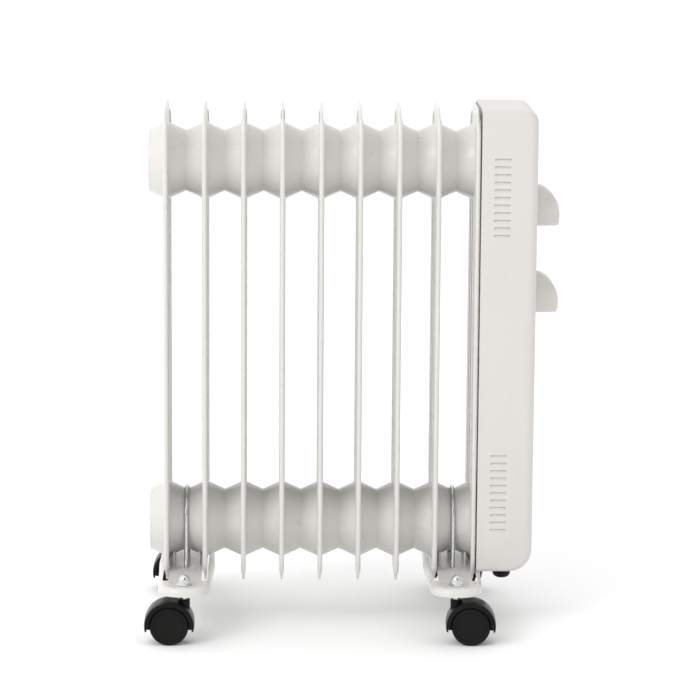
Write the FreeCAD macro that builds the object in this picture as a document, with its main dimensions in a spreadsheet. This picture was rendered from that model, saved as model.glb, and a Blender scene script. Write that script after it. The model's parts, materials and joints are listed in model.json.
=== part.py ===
"""Oil filled radiator heater: nine pressed fins, control housing, clamped feet and swivel casters.

Millimetres, +Z up, origin on the floor under the middle of the heater.  +X points to the
control housing, Y runs across the fins.
"""
import FreeCAD, Part
import os
import re
import Sketcher
from FreeCAD import Placement, Rotation, Vector

SIZES = {
    # how far a cutting solid reaches past the piece that it cuts
    "overcut": 1,
    # fins
    "fin_count": 9,
    "fin_pitch": 42,
    "fin_height": 524,
    "fin_depth": 120,
    "fin_drop": 15.5,
    "fin_corner": 32,
    "fin_thickness": 2.4,
    "hem_radius": 2.7,
    "hem_inset": 2.2,
    "hem_sweep": 46,
    "channel_width": 24,
    "channel_slope": 4,
    "channel_thickness": 6.2,
    "channel_spread": 34,
    "oil_space": 3.6,
    # headers: the two oil tubes pressed into every fin
    "header_rise": 62,
    "header_spacing": 400,
    "header_crown": 42.5,
    "header_valley": 33,
    "header_wall": 1.5,
    "end_reach": 17.5,
    "cap_thickness": 2,
    "cap_edge": 1.6,
    "inner_reach": 12,
    # heating elements
    "element_radius": 4.2,
    "element_spread": 11,
    "element_length": 285,
    "flange_thickness": 3,
    "boss_radius": 22,
    "boss_thickness": 6,
    "terminal_radius": 2,
    "terminal_length": 9,
    "cutout_radius": 6,
    "cutout_length": 7,
    "cutout_tab": 1,
    "plug_radius": 4.9,
    "plug_head": 7.5,
    "plug_head_thickness": 5,
    # control housing
    "housing_gap": 3.6,
    "housing_depth": 61,
    "housing_width": 124,
    "housing_rise": 15.8,
    "housing_height": 508.7,
    "housing_corner": 14,
    "housing_foot_corner": 25,
    "housing_edge": 6,
    "housing_wall": 2.5,
    "plate_setback": 3,
    "plate_thickness": 1.2,
    "plate_clearance": 0.3,
    "header_clearance": 1.2,
    "vent_count": 11,
    "vent_pitch": 8.25,
    "vent_length": 17.4,
    "vent_height": 1.7,
    "vent_slope": 48,
    "vent_inset": 14,
    "upper_vent_drop": 53.3,
    "lower_vent_rise": 130.4,
    "screw_spread": 47,
    "screw_margin": 30,
    "screw_boss": 4.5,
    "screw_radius": 1.9,
    "screw_grip": 14,
    "screw_head": 3.8,
    "screw_head_thickness": 2.4,
    # controls
    "panel_width": 84,
    "panel_drop": 60,
    "panel_height": 188,
    "panel_recess": 1.2,
    "panel_thickness": 0.6,
    "panel_corner": 6,
    "panel_clearance": 0.1,
    "thermostat_drop": 49.6,
    "knob_pitch": 95.9,
    "knob_radius": 23.5,
    "knob_tip_radius": 22.7,
    "knob_height": 27.4,
    "knob_upper_height": 24.3,
    "knob_break": 11.7,
    "knob_gap": 0.6,
    "knob_crown": 22,
    "knob_shoulder": 3.2,
    "knob_cavity": 9.5,
    "knob_cavity_depth": 5,
    "shaft_radius": 3,
    "shaft_length": 39,
    "shaft_inside": 19,
    "shaft_clearance": 0.05,
    "bush_radius": 5,
    "bush_length": 6.2,
    "bush_clearance": 0.2,
    "control_nut": 8,
    "control_nut_thickness": 2.2,
    "control_body": 34,
    "control_body_depth": 24,
    "lamp_drop": 47.9,
    "lamp_radius": 4,
    "lamp_body": 5,
    "lamp_length": 18,
    "lamp_stand": 1.4,
    "lamp_edge": 1,
    # parts on the inside of the back plate
    "terminal_block_rise": 185.7,
    "terminal_block_width": 40,
    "terminal_block_height": 20,
    "terminal_block_depth": 16,
    "well_radius": 3,
    "well_depth": 5,
    "well_pitch": 12,
    "well_rise": 4.4,
    "tilt_rise": 253.7,
    "tilt_gap": 9,
    "tilt_wall": 2,
    "tilt_pin": 1.5,
    "tilt_clearance": 0.05,
    "tilt_arm": 16,
    "tilt_bob": 5.6,
    "tilt_eye": 3.8,
    "tilt_arm_depth": 4.9,
    "tilt_play": 1.5,
    "tilt_margin": 2,
    "tilt_offset": 16,
    # cord inlet
    "gland_inset": 32,
    "gland_radius": 10,
    "gland_drop": 20.3,
    "gland_edge": 6,
    "gland_neck": 7.5,
    "gland_neck_length": 14,
    "gland_bore": 4,
    "gland_nut": 11.5,
    "gland_nut_thickness": 5,
    "gland_pad": 2,
    # foot brackets and their clamps
    "bracket_sheet": 2,
    "bracket_lip": 9,
    "bracket_reach": 135,
    "bracket_end_margin": 6.5,
    "bracket_middle_margin": 10,
    "bracket_corner": 25,
    "bracket_edge": 6,
    "slot_width": 6.4,
    "slot_reach": 98,
    "saddle_height": 15,
    "saddle_reach": 27,
    "saddle_offset": 14,
    "saddle_clearance": 0.1,
    "wire_radius": 2.5,
    "wire_clearance": 0.05,
    "hole_clearance": 0.25,
    "wing_nut_radius": 5.5,
    "wing_nut_height": 7,
    "wing_span": 24,
    "wing_thickness": 2.4,
    "wing_height": 4.9,
    "thread_overhang": 3,
    # casters
    "stem_reach": 116,
    "stem_radius": 4,
    "stem_clearance": 0.05,
    "stem_engaged": 9,
    "stem_seat_rise": 7,
    "stem_show": 10,
    "stem_end_gap": 0.5,
    "collar_radius": 6.5,
    "collar_thickness": 3,
    "acorn_flange": 8.4,
    "acorn_flange_thickness": 1.8,
    "acorn_radius": 6.4,
    "acorn_height": 12,
    "acorn_round": 5.6,
    "wheel_radius": 21,
    "wheel_width": 9.2,
    "wheel_tread": 3,
    "wheel_hub": 5.5,
    "wheel_face": 2.2,
    "wheel_edge": 1.2,
    "wheel_gap": 0.35,
    "axle_radius": 2.5,
    "axle_clearance": 0.05,
    "axle_recess": 0.2,
    "hood_clearance": 3.2,
    "hood_wall": 3,
    "hood_width": 31,
    "hood_web": 11,
    "hood_tip": 15.2,
    "hood_notch": 2,
    "caster_trail": 16,
    "boss_rise": 0.8,
    "socket_radius": 6.35,
    "yaw_left_front": 180,
    "yaw_left_back": 180,
    "yaw_right_front": 358,
    "yaw_right_back": 352,
}

DERIVED = {
    "hood_radius": "wheel_radius + hood_clearance + hood_wall",
    "boss_top": "wheel_radius + hood_radius + boss_rise",
    "stem_seat": "wheel_radius + stem_seat_rise",
    "bracket_under": "boss_top + stem_show + collar_thickness",
    "bracket_top": "bracket_under + bracket_sheet",
    "fin_bottom": "bracket_top - fin_drop",
    "left_overhang": "caster_trail + hood_radius - fin_pitch / 2",
    "overall_length": "left_overhang + (fin_count - 1) * fin_pitch + housing_gap + housing_depth"
                      " + knob_height",
    "fin_one_x": "left_overhang - overall_length / 2",
    "last_fin_x": "fin_one_x + (fin_count - 1) * fin_pitch",
    "fin_top": "fin_bottom + fin_height",
    "header_low": "fin_bottom + header_rise",
    "header_high": "header_low + header_spacing",
    "header_taper": "(header_crown - header_valley) / (fin_pitch / 2)",
    "inner_end_x": "last_fin_x + inner_reach",
    "inner_end_radius": "header_crown - header_taper * inner_reach",
    "housing_rear": "last_fin_x + housing_gap",
    "housing_front": "housing_rear + housing_depth",
    "housing_bottom": "fin_bottom + housing_rise",
    "housing_top": "housing_bottom + housing_height",
    "upper_vent_top": "housing_top - upper_vent_drop",
    "lower_vent_top": "housing_bottom + lower_vent_rise",
    "panel_top": "housing_top - panel_drop",
    "panel_bottom": "panel_top - panel_height",
    "thermostat_z": "panel_top - thermostat_drop",
    "power_z": "thermostat_z - knob_pitch",
    "lamp_z": "thermostat_z - lamp_drop",
    "terminal_block_z": "housing_bottom + terminal_block_rise",
    "tilt_z": "housing_bottom + tilt_rise",
    "inner_front": "housing_front - housing_wall",
    "plate_rear": "housing_rear + plate_setback",
    "plate_front": "plate_rear + plate_thickness",
    "panel_front": "housing_front - panel_recess + panel_thickness",
    "shaft_start": "inner_front - shaft_inside",
    "knob_base": "housing_front + knob_gap - panel_recess + panel_thickness",
    "screw_low": "housing_bottom + screw_margin",
    "screw_high": "housing_top - screw_margin",
    "bracket_end_width": "fin_pitch + 2 * bracket_end_margin",
    "bracket_middle_width": "fin_pitch + 2 * bracket_middle_margin",
    "left_bracket_x": "fin_one_x + fin_pitch / 2",
    "right_bracket_x": "last_fin_x - fin_pitch / 2",
    "wire_bend": "header_valley + wire_radius * sqrt(1 + header_taper * header_taper) + wire_clearance",
    "wheel_inner": "hood_web / 2 + wheel_gap",
    "gland_x": "housing_rear + gland_inset",
}

TURN = {
    "x": Rotation(Vector(0, 1, 0), 90),
    "y": Rotation(Vector(1, 0, 0), -90),
    "z": Rotation(),
}

doc = FreeCAD.newDocument("oil_filled_radiator")
sheet = doc.addObject("Spreadsheet::Sheet", "Sizes")
subparts = []


def fill_sheet():
    for row, (alias, value) in enumerate(SIZES.items(), start=1):
        sheet.set("A%d" % row, alias.replace("_", " "))
        sheet.set("B%d" % row, str(value))
        sheet.setAlias("B%d" % row, alias)
    doc.recompute()


def formula(text):
    """The text with each derived name spelled out and each size read from the sheet."""
    def spell(match):
        word = match.group(0)
        if word in DERIVED:
            return "(" + formula(DERIVED[word]) + ")"
        if word in SIZES:
            return "Sizes." + word
        return word
    return re.sub(r"[a-z_]+", spell, text)


def measure(text):
    return float(sheet.evalExpression(formula(text)))


def bind(item, **sizes):
    for name, text in sizes.items():
        item.setExpression(name, formula(text))
    return item


def place(item, at, turn=None):
    item.Placement = Placement(Vector(0, 0, 0), turn or Rotation())
    for axis, text in zip("xyz", at):
        item.setExpression("Placement.Base." + axis, formula(text))
    return item


def node(item, label):
    item.Label = label
    subparts.append(item)
    return item


# ---- solids -------------------------------------------------------------------------------

def block(size, low):
    """A box given by its three sizes and its lowest corner."""
    item = doc.addObject("Part::Box", "block")
    bind(item, Length=size[0], Width=size[1], Height=size[2])
    return place(item, low)


def rod(radius, length, start, along="z"):
    item = doc.addObject("Part::Cylinder", "rod")
    bind(item, Radius=radius, Height=length)
    return place(item, start, TURN[along])


def cone(start_radius, end_radius, length, start, along="x"):
    item = doc.addObject("Part::Cone", "cone")
    bind(item, Radius1=start_radius, Radius2=end_radius, Height=length)
    return place(item, start, TURN[along])


def bend(bend_radius, radius, sweep, centre, start_way, sweep_way):
    """Part of a ring: it starts in one direction from its centre and turns towards another."""
    item = doc.addObject("Part::Torus", "bend")
    bind(item, Radius1=bend_radius, Radius2=radius, Angle3=sweep)
    turn = Rotation(start_way, sweep_way, start_way.cross(sweep_way), "ZXY")
    return place(item, centre, turn)


def hexagon(corner_radius, length, start, along="z"):
    item = doc.addObject("Part::Prism", "hexagon")
    item.Polygon = 6
    bind(item, Circumradius=corner_radius, Height=length)
    return place(item, start, TURN[along])


def fuse(items):
    item = doc.addObject("Part::MultiFuse", "joined")
    item.Shapes = items
    item.Refine = True
    return item


def cut(base, tools):
    item = doc.addObject("Part::Cut", "cut")
    item.Base = base
    item.Tool = tools[0] if len(tools) == 1 else fuse(tools)
    item.Refine = True
    return item


def group(items):
    item = doc.addObject("Part::Compound", "group")
    item.Links = items
    return item


# ---- sketched bodies ----------------------------------------------------------------------

def outline(body, role, corners):
    """A closed sketch of straight sides, every corner held by two formulas."""
    sketch = body.newObject("Sketcher::SketchObject", "outline")
    plane = [feature for feature in body.Origin.OriginFeatures if feature.Role == role][0]
    sketch.AttachmentSupport = (plane, [""])
    sketch.MapMode = "FlatFace"
    points = [Vector(measure(across), measure(up), 0) for across, up in corners]
    for index, point in enumerate(points):
        sketch.addGeometry(Part.LineSegment(point, points[(index + 1) % len(points)]))
    for index in range(len(points)):
        following = (index + 1) % len(points)
        sketch.addConstraint(Sketcher.Constraint("Coincident", index, 2, following, 1))
    for index, corner in enumerate(corners):
        for kind, text in zip(("DistanceX", "DistanceY"), corner):
            number = sketch.addConstraint(Sketcher.Constraint(kind, -1, 1, index, 1, measure(text)))
            sketch.setExpression("Constraints[%d]" % number, formula(text))
    return sketch


def padded(role, corners, length, midplane):
    body = doc.addObject("PartDesign::Body", "body")
    sketch = outline(body, role, corners)
    pad = body.newObject("PartDesign::Pad", "pad")
    pad.Profile = sketch
    pad.SideType = "Symmetric" if midplane else "One side"
    bind(pad, Length=length)
    doc.recompute()
    return body


def turned(corners):
    """A body of revolution about X: each corner is its place along the axis and its radius."""
    body = doc.addObject("PartDesign::Body", "body")
    sketch = outline(body, "XZ_Plane", corners)
    lathe = body.newObject("PartDesign::Revolution", "revolution")
    lathe.Profile = sketch
    lathe.ReferenceAxis = (sketch, ["H_Axis"])
    lathe.Angle = 360
    doc.recompute()
    return body


def rounded(body, radius, wanted):
    """Rounds the edges of the body's last feature that the test picks."""
    doc.recompute()
    base = body.Tip
    names = ["Edge%d" % number for number, edge in enumerate(base.Shape.Edges, start=1) if wanted(edge)]
    fillet = body.newObject("PartDesign::Fillet", "fillet")
    fillet.Base = (base, names)
    bind(fillet, Radius=radius)
    doc.recompute()
    return body


def runs_along(edge, axis):
    first, last = edge.Vertexes[0].Point, edge.Vertexes[-1].Point
    others = [name for name in "xyz" if name != axis]
    same = all(abs(getattr(first, name) - getattr(last, name)) < 1e-4 for name in others)
    return same and abs(getattr(first, axis) - getattr(last, axis)) > 1e-4


def lies_at(edge, axis, value):
    box = edge.BoundBox
    low, high = getattr(box, axis.upper() + "Min"), getattr(box, axis.upper() + "Max")
    return abs(low - value) < 1e-3 and abs(high - value) < 1e-3


def is_ring(edge, radius):
    return edge.Curve.TypeId == "Part::GeomCircle" and abs(edge.Curve.Radius - radius) < 1e-3


# ---- fins ---------------------------------------------------------------------------------

def fin_sheet():
    corners = [("-fin_depth / 2", "fin_bottom"), ("fin_depth / 2", "fin_bottom"),
               ("fin_depth / 2", "fin_top"), ("-fin_depth / 2", "fin_top")]
    body = padded("YZ_Plane", corners, "fin_thickness", True)
    return rounded(body, "fin_corner", lambda edge: runs_along(edge, "x"))


def fin_channels():
    """The pressed cross-section of the sheet between the headers: three raised oil channels."""
    side = []
    for centre in ("-channel_spread", "0", "channel_spread"):
        side.append(("fin_thickness / 2", centre + " - channel_width / 2"))
        side.append(("channel_thickness / 2", centre + " - channel_width / 2 + channel_slope"))
        side.append(("channel_thickness / 2", centre + " + channel_width / 2 - channel_slope"))
        side.append(("fin_thickness / 2", centre + " + channel_width / 2"))
    other = [("-" + across, along) for across, along in reversed(side)]
    body = padded("XY_Plane", side + other, "header_spacing", False)
    return place(body, ("0", "0", "header_low"))


def fin_hems():
    """The rolled edge on both long sides of a fin, ending part-way round each corner."""
    items = []
    for sign in (-1, 1):
        edge_y = "%d * (fin_depth / 2 - hem_inset)" % sign
        corner_y = "%d * (fin_depth / 2 - fin_corner)" % sign
        items.append(rod("hem_radius", "fin_height - 2 * fin_corner",
                         ("0", edge_y, "fin_bottom + fin_corner")))
        for corner_z, way in (("fin_bottom + fin_corner", -1), ("fin_top - fin_corner", 1)):
            items.append(bend("fin_corner - hem_inset", "hem_radius", "hem_sweep",
                              ("0", corner_y, corner_z), Vector(0, sign, 0), Vector(0, 0, way)))
    return items


def header_half(centre_z, way, reach, inset):
    """Half of the double cone round a header, from the fin's middle plane out to its end."""
    crown = "header_crown - " + inset
    end = "header_crown - header_taper * %s - %s" % (reach, inset)
    if way > 0:
        return cone(crown, end, reach, ("0", "0", centre_z))
    return cone(end, crown, reach, ("-" + reach, "0", centre_z))


def oil_channels():
    width = "(channel_width - 2 * channel_slope)"
    return [block(("oil_space", width, "header_spacing"),
                  ("-oil_space / 2", centre + " - " + width + " / 2", "header_low"))
            for centre in ("-channel_spread", "0", "channel_spread")]


def build_fin(number):
    """One fin: its sheet with the oil channels, and the four header cups that stand out of it."""
    reaches = {-1: "end_reach" if number == 1 else "(fin_pitch / 2)",
               1: "inner_reach" if number == SIZES["fin_count"] else "(fin_pitch / 2)"}
    openings = []
    cups = []
    for centre_z in ("header_low", "header_high"):
        for way, reach in reaches.items():
            openings.append(header_half(centre_z, way, reach, "0"))
            cup = cut(header_half(centre_z, way, reach, "0"),
                      [header_half(centre_z, way, reach, "header_wall")])
            cups.append(cut(cup, oil_channels()))
    fin = cut(fuse([fin_sheet(), fin_channels()] + fin_hems()), openings + oil_channels())
    item = group([fin] + cups)
    place(item, ("fin_one_x + %d * fin_pitch" % (number - 1), "0", "0"))
    node(item, "fin_%d" % number)


# ---- header ends and heating elements -----------------------------------------------------

def build_end_caps():
    radius = "header_crown - header_taper * end_reach"
    for label, centre_z in (("upper_end_cap", "header_high"), ("lower_end_cap", "header_low")):
        cap = turned([("0", "0"), ("0", radius), ("cap_thickness", radius), ("cap_thickness", "0")])
        rounded(cap, "cap_edge", lambda edge: is_ring(edge, measure(radius)) and lies_at(edge, "x", 0))
        place(cap, ("fin_one_x - end_reach - cap_thickness", "0", centre_z))
        node(cap, label)


def build_inner_ends():
    disc = rod("inner_end_radius", "flange_thickness", ("inner_end_x", "0", "header_high"), "x")
    hole = rod("plug_radius", "flange_thickness", ("inner_end_x", "0", "header_high"), "x")
    node(cut(disc, [hole]), "upper_inner_cap")
    head_x = "inner_end_x + flange_thickness"
    plug = fuse([rod("plug_radius", "flange_thickness", ("inner_end_x", "0", "header_high"), "x"),
                 hexagon("plug_head", "plug_head_thickness", (head_x, "0", "header_high"), "x")])
    node(plug, "oil_filler_plug")
    flange = [rod("inner_end_radius", "flange_thickness", ("inner_end_x", "0", "header_low"), "x"),
              hexagon("boss_radius", "boss_thickness", (head_x, "0", "header_low"), "x")]
    for side in (-1, 1):
        for level in (-1, 1):
            start = (head_x + " + boss_thickness", "%d * element_spread" % side,
                     "header_low + %d * element_spread" % level)
            flange.append(rod("terminal_radius", "terminal_length", start, "x"))
    node(fuse(flange), "element_flange")
    cutout_z = "header_low + (boss_radius + inner_end_radius) / 2"
    cutout = [rod("cutout_radius", "cutout_length", (head_x, "0", cutout_z), "x"),
              block(("terminal_length", "cutout_radius", "cutout_tab"),
                    (head_x + " + cutout_length / 2", "-cutout_radius / 2", cutout_z))]
    node(fuse(cutout), "thermal_cutout")


def build_elements():
    loops = []
    for level in (-1, 1):
        z = "header_low + %d * element_spread" % level
        turn_x = "inner_end_x - element_length"
        legs = [rod("element_radius", "element_length", (turn_x, "%d * element_spread" % side, z), "x")
                for side in (-1, 1)]
        loop = bend("element_spread", "element_radius", "180", (turn_x, "0", z),
                    Vector(0, 1, 0), Vector(-1, 0, 0))
        loops.append(fuse(legs + [loop]))
    node(group(loops), "heating_elements")


# ---- housing ------------------------------------------------------------------------------

def housing_form(inset, rear):
    """The housing's outer form, or its inside when inset by the wall; its rear rim stays square."""
    low, high = "housing_bottom + " + inset, "housing_top - " + inset
    front = "housing_front - " + inset
    half_width = "(housing_width / 2 - %s)" % inset
    corners = [(rear, low), (front, low), (front, high), (rear, high)]
    body = padded("XZ_Plane", corners, "2 * " + half_width, True)
    for corner, level in (("housing_corner", high), ("housing_foot_corner", low)):
        rounded(body, corner + " - " + inset,
                lambda edge: runs_along(edge, "y") and lies_at(edge, "x", measure(front))
                and lies_at(edge, "z", measure(level)))
    return rounded(body, "housing_edge - " + inset,
                   lambda edge: not lies_at(edge, "x", measure(rear))
                   and (lies_at(edge, "y", measure(half_width)) or lies_at(edge, "y", -measure(half_width))))


def screw_places():
    middle = "(screw_low + screw_high) / 2"
    return [("%d * screw_spread" % side, z) for z in ("screw_low", middle, "screw_high")
            for side in (-1, 1)]


def vent_slots():
    """Louvre slots through both side walls, sloping down towards the outside."""
    slots = []
    depth = "4 * housing_wall"
    for side in (-1, 1):
        slope = Rotation(Vector(1, 0, 0), -side * SIZES["vent_slope"])
        for top in ("upper_vent_top", "lower_vent_top"):
            for step in range(SIZES["vent_count"]):
                slot = block(("vent_length", depth, "vent_height"),
                             ("-vent_length / 2", "-(%s) / 2" % depth, "-vent_height / 2"))
                slots.append(place(group([slot]),
                                   ("housing_rear + vent_inset + vent_length / 2",
                                    "%d * (housing_width / 2 - housing_wall / 2)" % side,
                                    "%s - %d * vent_pitch" % (top, step)), slope))
    return slots


def panel_form(start_x, depth, clearance):
    width = "(panel_width / 2 - %s)" % clearance
    low, high = "panel_bottom + " + clearance, "panel_top - " + clearance
    corners = [("-" + width, low), (width, low), (width, high), ("-" + width, high)]
    body = padded("YZ_Plane", corners, depth, False)
    rounded(body, "panel_corner", lambda edge: runs_along(edge, "x"))
    return place(body, (start_x, "0", "0"))


def front_holes():
    length = "housing_wall + 2 * overcut"
    holes = [rod("bush_radius + bush_clearance", length, ("inner_front - overcut", "0", z), "x")
             for z in ("thermostat_z", "power_z")]
    holes.append(rod("lamp_radius", length, ("inner_front - overcut", "0", "lamp_z"), "x"))
    return holes


def build_housing():
    walls = cut(housing_form("0", "housing_rear"), [housing_form("housing_wall", "housing_rear - overcut")])
    posts = [rod("screw_boss", "inner_front - plate_front + housing_wall / 2", ("plate_front", y, z), "x")
             for y, z in screw_places()]
    posts.append(rod("gland_nut + overcut", "housing_wall / 2 + gland_pad",
                     ("gland_x", "0", "housing_bottom + housing_wall / 2")))
    pilots = [rod("screw_radius", "screw_grip", ("plate_front", y, z), "x") for y, z in screw_places()]
    gland_hole = rod("gland_neck", "housing_wall + gland_pad + 2 * overcut",
                     ("gland_x", "0", "housing_bottom - overcut"))
    relief = cone("header_crown + header_clearance", "inner_end_radius + header_clearance", "inner_reach",
                  ("last_fin_x", "0", "header_low"))
    recess = panel_form("housing_front - panel_recess", "panel_recess + overcut", "0")
    shell = cut(fuse([walls] + posts),
                vent_slots() + pilots + front_holes() + [gland_hole, relief, recess])
    node(shell, "housing_shell")
    panel = panel_form("housing_front - panel_recess", "panel_thickness", "panel_clearance")
    node(cut(panel, front_holes()), "control_panel")
    build_back_plate()


def build_back_plate():
    half = "(housing_width / 2 - housing_wall - plate_clearance)"
    low = "housing_bottom + housing_wall + plate_clearance"
    high = "housing_top - housing_wall - plate_clearance"
    corners = [("-" + half, low), (half, low), (half, high), ("-" + half, high)]
    plate = padded("YZ_Plane", corners, "plate_thickness", False)
    rounded(plate, "housing_edge - housing_wall", lambda edge: runs_along(edge, "x"))
    place(plate, ("plate_rear", "0", "0"))
    header_hole = "header_crown - header_taper * (plate_rear - last_fin_x) + header_clearance"
    through = "plate_thickness + 2 * overcut"
    holes = [rod(header_hole, through, ("plate_rear - overcut", "0", z), "x")
             for z in ("header_low", "header_high")]
    holes += [rod("screw_radius", through, ("plate_rear - overcut", y, z), "x")
              for y, z in screw_places()]
    node(cut(plate, holes), "housing_back_plate")
    screws = []
    for y, z in screw_places():
        head = rod("screw_head", "screw_head_thickness", ("plate_rear - screw_head_thickness", y, z), "x")
        shank = rod("screw_radius", "plate_thickness + screw_grip", ("plate_rear", y, z), "x")
        screws.append(fuse([head, shank]))
    node(group(screws), "housing_screws")


# ---- controls -----------------------------------------------------------------------------

def knob_solid(z):
    """A round knob whose outer face slopes from full height at the bottom to the panel at the top."""
    side = [("0", "-knob_radius"), ("knob_height", "-knob_radius"), ("knob_height", "-knob_break"),
            ("knob_upper_height", "knob_radius"), ("0", "knob_radius")]
    profile = padded("XZ_Plane", side, "2 * (knob_radius + overcut)", True)
    rounded(profile, "knob_crown", lambda edge: runs_along(edge, "y")
            and lies_at(edge, "x", measure("knob_upper_height")))
    rounded(profile, "knob_shoulder", lambda edge: runs_along(edge, "y")
            and lies_at(edge, "x", measure("knob_height")) and lies_at(edge, "z", -measure("knob_radius")))
    form = doc.addObject("Part::MultiCommon", "common")
    form.Shapes = [profile, cone("knob_radius", "knob_tip_radius", "knob_height", ("0", "0", "0"))]
    hollow = [rod("knob_cavity", "knob_cavity_depth", ("0", "0", "0"), "x"),
              rod("shaft_radius", "shaft_start + shaft_length - knob_base", ("0", "0", "0"), "x")]
    knob = cut(form, hollow)
    return place(knob, ("knob_base", "0", z))


def build_control(names, z):
    body_name, shaft_name, knob_name = names
    half = "control_body / 2"
    case = block(("control_body_depth", "control_body", "control_body"),
                 ("inner_front - control_body_depth", "-" + half, z + " - " + half))
    bush = rod("bush_radius", "bush_length", ("inner_front", "0", z), "x")
    bore = rod("shaft_radius + shaft_clearance", "bush_length + shaft_inside + 2 * overcut",
               ("shaft_start - overcut", "0", z), "x")
    node(cut(fuse([case, bush]), [bore]), body_name)
    node(rod("shaft_radius", "shaft_length", ("shaft_start", "0", z), "x"), shaft_name)
    node(knob_solid(z), knob_name)


def build_controls():
    build_control(("thermostat_body", "thermostat_shaft", "thermostat_knob"), "thermostat_z")
    build_control(("power_switch_body", "power_switch_shaft", "power_knob"), "power_z")
    nuts = []
    for z in ("thermostat_z", "power_z"):
        nuts.append(cut(hexagon("control_nut", "control_nut_thickness", ("panel_front", "0", z), "x"),
                        [rod("bush_radius", "control_nut_thickness", ("panel_front", "0", z), "x")]))
    node(group(nuts), "control_nuts")
    tip = "panel_front - inner_front + lamp_stand"
    lamp = turned([("-lamp_length", "0"), ("-lamp_length", "lamp_body"), ("0", "lamp_body"),
                   ("0", "lamp_radius"), (tip, "lamp_radius"), (tip, "0")])
    rounded(lamp, "lamp_edge", lambda edge: lies_at(edge, "x", measure(tip)))
    node(place(lamp, ("inner_front", "0", "lamp_z")), "pilot_lamp")


# ---- parts mounted on the back plate ------------------------------------------------------

def build_terminal_block():
    low = ("plate_front", "-terminal_block_width / 2", "terminal_block_z")
    case = block(("terminal_block_depth", "terminal_block_width", "terminal_block_height"), low)
    wells = []
    for step in (-1, 0, 1):
        for level in (-1, 1):
            start = ("plate_front + terminal_block_depth - well_depth", "%d * well_pitch" % step,
                     "terminal_block_z + terminal_block_height / 2 + %d * well_rise" % level)
            wells.append(rod("well_radius", "well_depth + overcut", start, "x"))
    node(cut(case, wells), "terminal_block")


def build_tilt_switch():
    """A weight that hangs on a pin in a small frame and opens the supply when the heater leans."""
    depth = "(tilt_offset + tilt_bob)"
    height = "(tilt_arm + tilt_bob + tilt_eye + 2 * tilt_margin)"
    low_z = "tilt_z - tilt_arm - tilt_bob - tilt_margin"
    pin_x = "plate_front + tilt_offset"
    frame = [block(("tilt_wall", "2 * (tilt_gap + tilt_wall)", height),
                   ("plate_front", "-tilt_gap - tilt_wall", low_z))]
    for low_y in ("-tilt_gap - tilt_wall", "tilt_gap"):
        frame.append(block((depth, "tilt_wall", height), ("plate_front", low_y, low_z)))
    frame.append(rod("tilt_pin", "2 * tilt_gap + tilt_wall", (pin_x, "-tilt_gap - tilt_wall / 2", "tilt_z"),
                     "y"))
    node(fuse(frame), "tilt_switch_frame")
    width = "(2 * (tilt_gap - tilt_play))"
    side_y = "tilt_play - tilt_gap"
    arm = block(("tilt_arm_depth", width, "tilt_arm"),
                (pin_x + " - tilt_arm_depth / 2", side_y, "tilt_z - tilt_arm"))
    eye = rod("tilt_eye", width, (pin_x, side_y, "tilt_z"), "y")
    bob = rod("tilt_bob", width, (pin_x, side_y, "tilt_z - tilt_arm"), "y")
    bore = rod("tilt_pin + tilt_clearance", width, (pin_x, side_y, "tilt_z"), "y")
    node(cut(fuse([arm, eye, bob]), [bore]), "tilt_switch_weight")


def build_cord_inlet():
    drop = "gland_drop"
    shape = turned([("-" + drop, "0"), ("-" + drop, "gland_radius"), ("0", "gland_radius"),
                    ("0", "gland_neck"), ("gland_neck_length", "gland_neck"),
                    ("gland_neck_length", "0")])
    rounded(shape, "gland_edge", lambda edge: lies_at(edge, "x", -measure(drop)))
    place(shape, ("gland_x", "0", "housing_bottom"), Rotation(Vector(0, 1, 0), -90))
    bore = rod("gland_bore", "gland_drop + gland_neck_length + 2 * overcut",
               ("gland_x", "0", "housing_bottom - gland_drop - overcut"))
    node(cut(shape, [bore]), "cord_gland")
    low = ("gland_x", "0", "housing_bottom + housing_wall + gland_pad")
    nut = cut(hexagon("gland_nut", "gland_nut_thickness", low),
              [rod("gland_neck", "gland_nut_thickness", low)])
    node(nut, "gland_nut")


# ---- feet ---------------------------------------------------------------------------------

def bracket_form(inset, low, high):
    """The pressed tray's outline, widest in the middle, with well rounded ends."""
    end = "(bracket_end_width / 2 - %s)" % inset
    middle = "(bracket_middle_width / 2 - %s)" % inset
    reach = "(bracket_reach - %s)" % inset
    corners = [("-" + end, "-" + reach), (end, "-" + reach), (middle, "0"),
               (end, reach), ("-" + end, reach), ("-" + middle, "0")]
    body = padded("XY_Plane", corners, "%s - (%s)" % (high, low), False)
    rounded(body, "bracket_corner - " + inset, lambda edge: runs_along(edge, "z")
            and abs(edge.Vertexes[0].Point.y) > 1)
    top = measure("%s - (%s)" % (high, low))
    rounded(body, "bracket_edge - " + inset, lambda edge: lies_at(edge, "z", top))
    return place(body, ("0", "0", low))


def slot_cutter(x):
    """A long round-ended slot that a fin passes through."""
    half = "(slot_width / 2)"
    low = "bracket_top - bracket_lip - overcut"
    tall = "bracket_lip + saddle_height + 2 * overcut"
    straight = "(slot_reach - slot_width / 2)"
    return [block(("slot_width", "2 * " + straight, tall), (x + " - " + half, "-" + straight, low)),
            rod(half, tall, (x, "-" + straight, low)),
            rod(half, tall, (x, straight, low))]


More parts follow.
